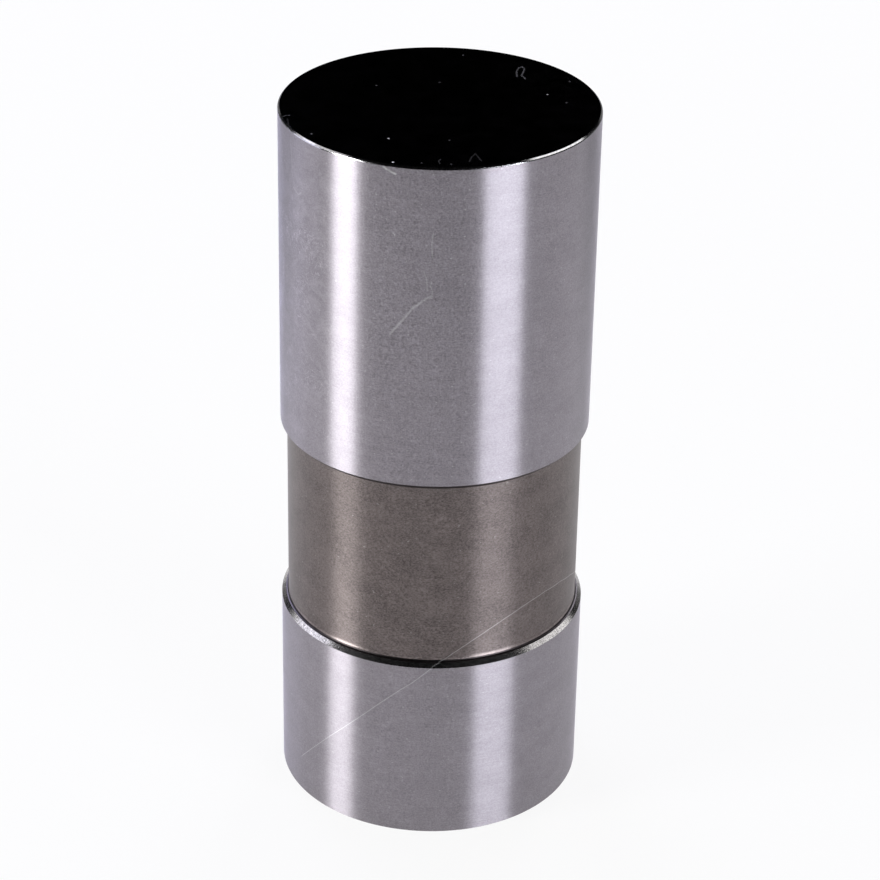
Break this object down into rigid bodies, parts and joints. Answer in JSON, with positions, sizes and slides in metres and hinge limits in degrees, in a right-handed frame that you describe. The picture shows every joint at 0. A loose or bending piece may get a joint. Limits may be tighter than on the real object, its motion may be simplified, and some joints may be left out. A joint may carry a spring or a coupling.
{
  "type": "hydraulic valve lifter",
  "caption": "Flat-faced hydraulic valve lifter: a ground cylinder with an oil band and a polished cam face, holding a sprung plunger, ball valve and pushrod seat.",
  "frame": {"origin": "centre of the open mouth's rim, on which the lifter stands", "axes": "+Z along the lifter's axis, from the mouth to the cam foot; +Y towards the oil feed hole"},
  "size_m": [0.0214, 0.0214, 0.0508],
  "materials": {
    "lifter_body": "hardened iron, ground on the lands, lapped on the foot, as turned in the oil band",
    "plunger": "ground",
    "pushrod_seat": "turned and hardened",
    "sheet_steel": "pressed sheet",
    "spring_wire": "drawn wire",
    "check_ball": "polished"
  },
  "bodies": {
    "body": {"lifter_body": "lifter_body", "retaining_clip": "spring_wire", "plunger_spring": "spring_wire"},
    "plunger": {"plunger": "plunger", "pushrod_seat": "pushrod_seat", "ball_cage": "sheet_steel", "ball_spring": "spring_wire"},
    "check_ball": {"check_ball": "check_ball"},
    "metering_disc": {"metering_disc": "sheet_steel"}
  },
  "joints": [
    {"name": "plunger_slide", "type": "slide", "parent": "body", "child": "plunger", "axis": [0, 0, 1], "range_m": [0, 0.0042], "stiffness_N_per_m": 2500, "springref_m": -0.006, "deforming": ["plunger_spring"]},
    {"name": "check_ball_lift", "type": "slide", "parent": "plunger", "child": "check_ball", "axis": [0, 0, 1], "range_m": [0, 0.0008], "stiffness_N_per_m": 60, "springref_m": -0.001, "deforming": ["ball_spring"]},
    {"name": "metering_disc_float", "type": "slide", "parent": "plunger", "child": "metering_disc", "axis": [0, 0, 1], "range_m": [0, 0.0002]}
  ]
}
